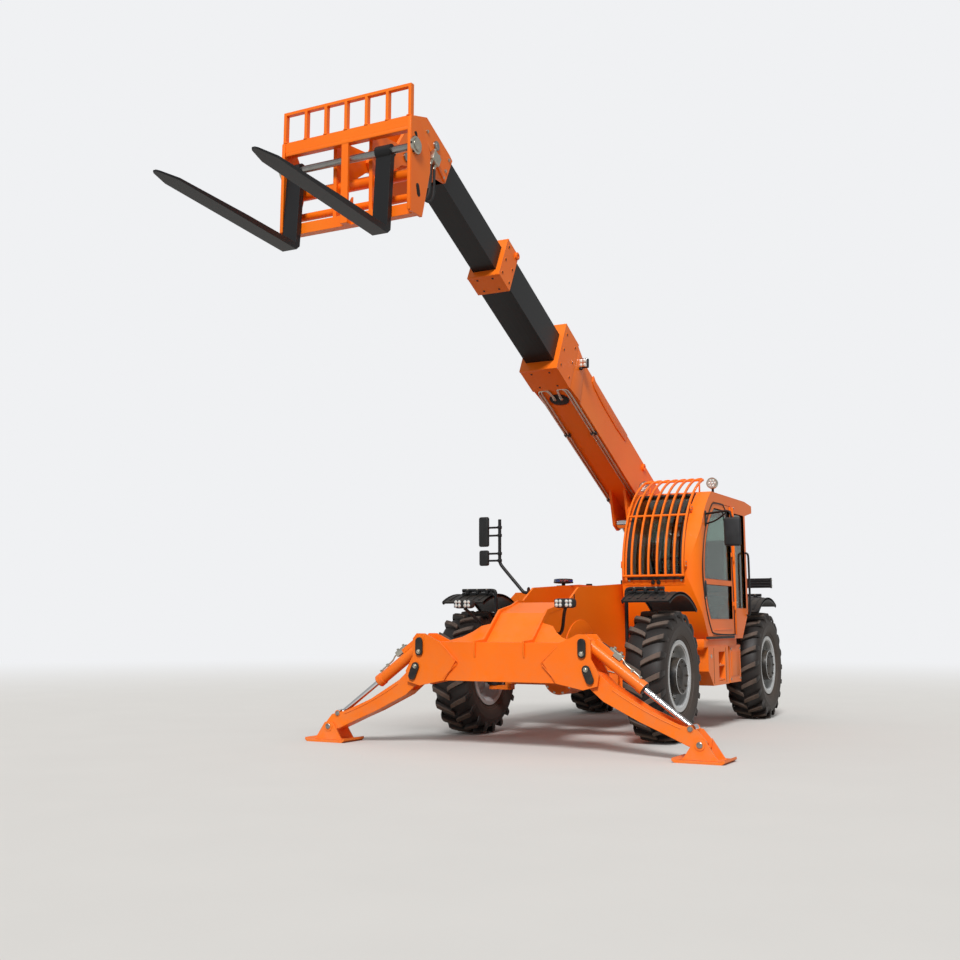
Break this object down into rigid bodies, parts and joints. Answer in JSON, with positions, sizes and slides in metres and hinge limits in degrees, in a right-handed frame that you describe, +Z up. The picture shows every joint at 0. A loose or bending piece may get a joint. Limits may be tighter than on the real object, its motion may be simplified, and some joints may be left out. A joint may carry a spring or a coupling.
{
  "type": "telehandler",
  "caption": "Telescopic forklift with a three-part boom, fork carriage, side cab, four large steered wheels and outriggers on a beam across its nose.",
  "frame": {"origin": "on the ground below the middle of the machine's length and width as it stands", "axes": "+X forward along the boom, +Y to the machine's left, +Z up"},
  "size_m": [9.6353, 4.04, 5.1813],
  "materials": {
    "orange_paint": "bright orange enamel on steel plate",
    "black_paint": "black enamel on steel",
    "silver_paint": "silver enamel on wheel rims",
    "chromed_rod": "polished hard chrome",
    "pin_steel": "turned steel pins",
    "engine_iron": "rough dark cast iron",
    "tyre_rubber": "worn brown-black tyre rubber",
    "tinted_glass": "green-tinted safety glass",
    "black_plastic": "moulded black plastic",
    "seat_vinyl": "black seat vinyl"
  },
  "bodies": {
    "chassis": {"chassis_frame": "orange_paint", "front_axle": "orange_paint", "rear_axle": "orange_paint", "cab_shell": "orange_paint", "cab_glass": "tinted_glass", "windscreen_guard": "orange_paint", "operator_seat": "seat_vinyl", "cab_controls": "black_plastic", "side_boxes": "orange_paint", "engine": "engine_iron", "lamps": "black_plastic", "mirrors": "black_plastic", "rear_bar": "black_paint"},
    "boom_base": {"boom_base": "orange_paint"},
    "boom_mid": {"boom_mid": "black_paint", "mid_collar": "orange_paint"},
    "boom_tip": {"boom_tip": "black_paint", "boom_head": "orange_paint"},
    "nose": {"nose_pin": "pin_steel"},
    "carriage": {"fork_carriage": "orange_paint", "fork_shaft": "pin_steel"},
    "fork_left": {"fork_left": "black_paint"},
    "fork_right": {"fork_right": "black_paint"},
    "lift_barrel": {"lift_barrel": "orange_paint"},
    "lift_rod": {"lift_rod": "chromed_rod"},
    "door": {"cab_door": "orange_paint", "door_glass": "tinted_glass"},
    "hood": {"engine_hood": "orange_paint"},
    "knuckle_front_left": {"knuckle_front_left": "black_paint"},
    "wheel_front_left": {"rim_front_left": "silver_paint", "tyre_front_left": "tyre_rubber"},
    "knuckle_front_right": {"knuckle_front_right": "black_paint"},
    "wheel_front_right": {"rim_front_right": "silver_paint", "tyre_front_right": "tyre_rubber"},
    "knuckle_rear_left": {"knuckle_rear_left": "black_paint"},
    "wheel_rear_left": {"rim_rear_left": "silver_paint", "tyre_rear_left": "tyre_rubber"},
    "knuckle_rear_right": {"knuckle_rear_right": "black_paint"},
    "wheel_rear_right": {"rim_rear_right": "silver_paint", "tyre_rear_right": "tyre_rubber"},
    "outrigger_arm_left": {"outrigger_arm_left": "orange_paint"},
    "outrigger_barrel_left": {"outrigger_barrel_left": "orange_paint"},
    "outrigger_rod_left": {"outrigger_rod_left": "chromed_rod"},
    "foot_pad_left": {"foot_pad_left": "orange_paint"},
    "outrigger_arm_right": {"outrigger_arm_right": "orange_paint"},
    "outrigger_barrel_right": {"outrigger_barrel_right": "orange_paint"},
    "outrigger_rod_right": {"outrigger_rod_right": "chromed_rod"},
    "foot_pad_right": {"foot_pad_right": "orange_paint"}
  },
  "joints": [
    {"name": "steer_front_left", "type": "hinge", "parent": "chassis", "child": "knuckle_front_left", "pos_m": [-0.5627, 0.78, 0.61], "axis": [0, 0, 1], "range_deg": [-30, 30]},
    {"name": "roll_front_left", "type": "hinge", "parent": "knuckle_front_left", "child": "wheel_front_left", "pos_m": [-0.5627, 1, 0.61], "axis": [0, 1, 0], "continuous": true},
    {"name": "steer_front_right", "type": "hinge", "parent": "chassis", "child": "knuckle_front_right", "pos_m": [-0.5627, -0.78, 0.61], "axis": [0, 0, 1], "range_deg": [-30, 30]},
    {"name": "roll_front_right", "type": "hinge", "parent": "knuckle_front_right", "child": "wheel_front_right", "pos_m": [-0.5627, -1, 0.61], "axis": [0, 1, 0], "continuous": true},
    {"name": "steer_rear_left", "type": "hinge", "parent": "chassis", "child": "knuckle_rear_left", "pos_m": [-3.7627, 0.78, 0.61], "axis": [0, 0, 1], "range_deg": [-30, 30]},
    {"name": "roll_rear_left", "type": "hinge", "parent": "knuckle_rear_left", "child": "wheel_rear_left", "pos_m": [-3.7627, 1, 0.61], "axis": [0, 1, 0], "continuous": true},
    {"name": "steer_rear_right", "type": "hinge", "parent": "chassis", "child": "knuckle_rear_right", "pos_m": [-3.7627, -0.78, 0.61], "axis": [0, 0, 1], "range_deg": [-30, 30]},
    {"name": "roll_rear_right", "type": "hinge", "parent": "knuckle_rear_right", "child": "wheel_rear_right", "pos_m": [-3.7627, -1, 0.61], "axis": [0, 1, 0], "continuous": true},
    {"name": "boom_lift", "type": "hinge", "parent": "chassis", "child": "boom_base", "pos_m": [-4.3127, 0, 1.6], "axis": [0, -1, 0], "range_deg": [-26.5, 43.5]},
    {"name": "boom_extend", "type": "slide", "parent": "boom_base", "child": "boom_mid", "axis": [0.8949, 0, 0.4462], "range_m": [-1.025, 2.55]},
    {"name": "boom_tip_extend", "type": "slide", "parent": "boom_mid", "child": "boom_tip", "axis": [0.8949, 0, 0.4462], "range_m": [-1.025, 2.55]},
    {"name": "fork_level", "type": "hinge", "parent": "boom_tip", "child": "nose", "pos_m": [2.79257, 0, 4.6956], "axis": [0, -1, 0], "range_deg": [-43.5, 26.5]},
    {"name": "fork_tilt", "type": "hinge", "parent": "nose", "child": "carriage", "pos_m": [2.79257, 0, 4.6956], "axis": [0, 1, 0], "range_deg": [-15, 60]},
    {"name": "fork_slide_left", "type": "slide", "parent": "carriage", "child": "fork_left", "axis": [0, 1, 0], "range_m": [-0.2, 0.16]},
    {"name": "fork_slide_right", "type": "slide", "parent": "carriage", "child": "fork_right", "axis": [0, 1, 0], "range_m": [0, 0.36]},
    {"name": "lift_swing", "type": "hinge", "parent": "chassis", "child": "lift_barrel", "pos_m": [-3.8627, 0, 1], "axis": [0, -1, 0], "range_deg": [-25.54, 41.86]},
    {"name": "lift_stroke", "type": "slide", "parent": "lift_barrel", "child": "lift_rod", "axis": [0.8089, 0, 0.588], "range_m": [-0.3259, 0.5344]},
    {"name": "outrigger_left", "type": "hinge", "parent": "chassis", "child": "outrigger_arm_left", "pos_m": [0.7673, 0.87, 0.63], "axis": [1, 0, 0], "range_deg": [0, 95]},
    {"name": "outrigger_swing_left", "type": "hinge", "parent": "chassis", "child": "outrigger_barrel_left", "pos_m": [0.7673, 0.8, 0.93], "axis": [1, 0, 0], "range_deg": [-0.1, 90.35]},
    {"name": "outrigger_stroke_left", "type": "slide", "parent": "outrigger_barrel_left", "child": "outrigger_rod_left", "axis": [0, 0.8066, -0.5911], "range_m": [-0.4548, 0.001]},
    {"name": "foot_pad_swivel_left", "type": "hinge", "parent": "outrigger_arm_left", "child": "foot_pad_left", "pos_m": [0.7673, 1.8, 0.14], "axis": [1, 0, 0], "range_deg": [-30, 30]},
    {"name": "outrigger_right", "type": "hinge", "parent": "chassis", "child": "outrigger_arm_right", "pos_m": [0.7673, -0.87, 0.63], "axis": [-1, 0, 0], "range_deg": [0, 95]},
    {"name": "outrigger_swing_right", "type": "hinge", "parent": "chassis", "child": "outrigger_barrel_right", "pos_m": [0.7673, -0.8, 0.93], "axis": [-1, 0, 0], "range_deg": [-0.1, 90.35]},
    {"name": "outrigger_stroke_right", "type": "slide", "parent": "outrigger_barrel_right", "child": "outrigger_rod_right", "axis": [0, -0.8066, -0.5911], "range_m": [-0.4548, 0.001]},
    {"name": "foot_pad_swivel_right", "type": "hinge", "parent": "outrigger_arm_right", "child": "foot_pad_right", "pos_m": [0.7673, -1.8, 0.14], "axis": [-1, 0, 0], "range_deg": [-30, 30]},
    {"name": "door_swing", "type": "hinge", "parent": "chassis", "child": "door", "pos_m": [-2.5557, 1.143, 0.93], "axis": [0, 0, 1], "range_deg": [0, 80]},
    {"name": "hood_lift", "type": "hinge", "parent": "chassis", "child": "hood", "pos_m": [-2.1627, -0.256, 1.42], "axis": [-1, 0, 0], "range_deg": [0, 60]}
  ],
  "couplings": [
    {"joint": "steer_front_right", "follows": "steer_front_left", "ratio": 1},
    {"joint": "steer_rear_right", "follows": "steer_rear_left", "ratio": 1},
    {"joint": "boom_tip_extend", "follows": "boom_extend", "ratio": 1},
    {"joint": "fork_level", "follows": "boom_lift", "ratio": -1},
    {"joint": "lift_swing", "follows": "boom_lift", "ratio": 0.96},
    {"joint": "lift_stroke", "follows": "boom_lift", "m_per_rad": 0.7025},
    {"joint": "outrigger_swing_left", "follows": "outrigger_left", "ratio": 0.95},
    {"joint": "outrigger_stroke_left", "follows": "outrigger_left", "m_per_rad": -0.2737},
    {"joint": "outrigger_swing_right", "follows": "outrigger_right", "ratio": 0.95},
    {"joint": "outrigger_stroke_right", "follows": "outrigger_right", "m_per_rad": -0.2737}
  ]
}
